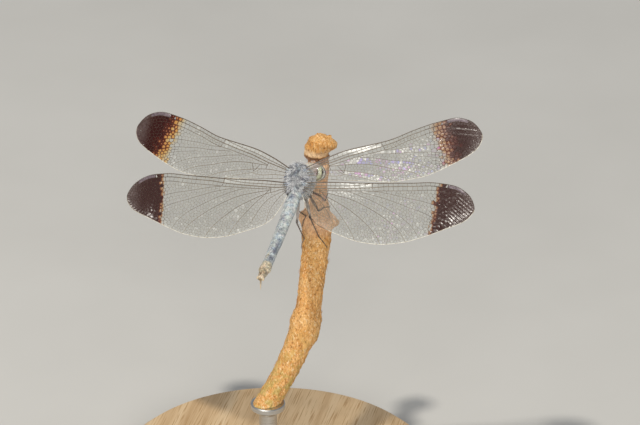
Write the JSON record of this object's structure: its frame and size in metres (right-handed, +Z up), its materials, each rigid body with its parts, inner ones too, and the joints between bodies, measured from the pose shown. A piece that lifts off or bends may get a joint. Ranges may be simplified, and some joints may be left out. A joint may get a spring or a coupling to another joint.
{
  "type": "dragonfly display model",
  "caption": "Life-size perched dragonfly with dark-tipped clear wings and pale pruinose body, gripping a cut twig on a rod and round wooden base.",
  "frame": {"origin": "centre of the underside of the round stand base", "axes": "+Z up; the insect's head end points towards -Y, its right side towards -X"},
  "size_m": [0.0607, 0.056, 0.0675],
  "materials": {
    "maple": "fine-grained turned maple, matt oil finish",
    "steel": "satin turned steel",
    "bark": "orange-brown fibrous dead bark, dry and rough, with greenish-yellow patches",
    "thorax_bloom": "dark cuticle under blue-grey waxy bloom and short pale hairs",
    "abdomen_bloom": "pale blue-grey waxy bloom with darker rubbed patches",
    "abdomen_tip": "cream to tan cuticle, slightly waxy",
    "spine": "tan-brown hard cuticle",
    "head_shell": "cream and brown cuticle, satin",
    "face": "pale olive cuticle, satin",
    "eye": "faceted eye, reddish brown above and grey-green below, glossy",
    "antenna": "dark brown bristle",
    "leg": "dark brown cuticle with black bristles, satin",
    "wing": "clear veined membrane with faint iridescence and dark brown tips"
  },
  "bodies": {
    "root": {"stand_base": "maple", "stand_rod": "steel", "twig": "bark", "thorax": "thorax_bloom", "prothorax": "thorax_bloom", "abdomen_01": "abdomen_bloom", "abdomen_02": "abdomen_bloom", "abdomen_03": "abdomen_bloom", "abdomen_04": "abdomen_bloom", "abdomen_05": "abdomen_bloom", "abdomen_06": "abdomen_bloom", "abdomen_07": "abdomen_bloom", "abdomen_08": "abdomen_tip", "abdomen_09": "abdomen_tip", "abdomen_10": "abdomen_tip", "ovipositor": "spine", "cercus_left": "spine", "cercus_right": "spine", "neck": "head_shell", "head_capsule": "head_shell", "face": "face", "mouthparts": "face", "eye_left": "eye", "eye_right": "eye", "antenna_left": "antenna", "antenna_right": "antenna", "wing_fore_left": "wing", "wing_fore_right": "wing", "wing_hind_left": "wing", "wing_hind_right": "wing", "leg_fore_left_femur": "leg", "leg_fore_left_tibia": "leg", "leg_fore_left_tarsus": "leg", "leg_fore_right_femur": "leg", "leg_fore_right_tibia": "leg", "leg_fore_right_tarsus": "leg", "leg_mid_left_femur": "leg", "leg_mid_left_tibia": "leg", "leg_mid_left_tarsus": "leg", "leg_mid_right_femur": "leg", "leg_mid_right_tibia": "leg", "leg_mid_right_tarsus": "leg", "leg_hind_left_femur": "leg", "leg_hind_left_tibia": "leg", "leg_hind_left_tarsus": "leg", "leg_hind_right_femur": "leg", "leg_hind_right_tibia": "leg", "leg_hind_right_tarsus": "leg"}
  },
  "joints": []
}
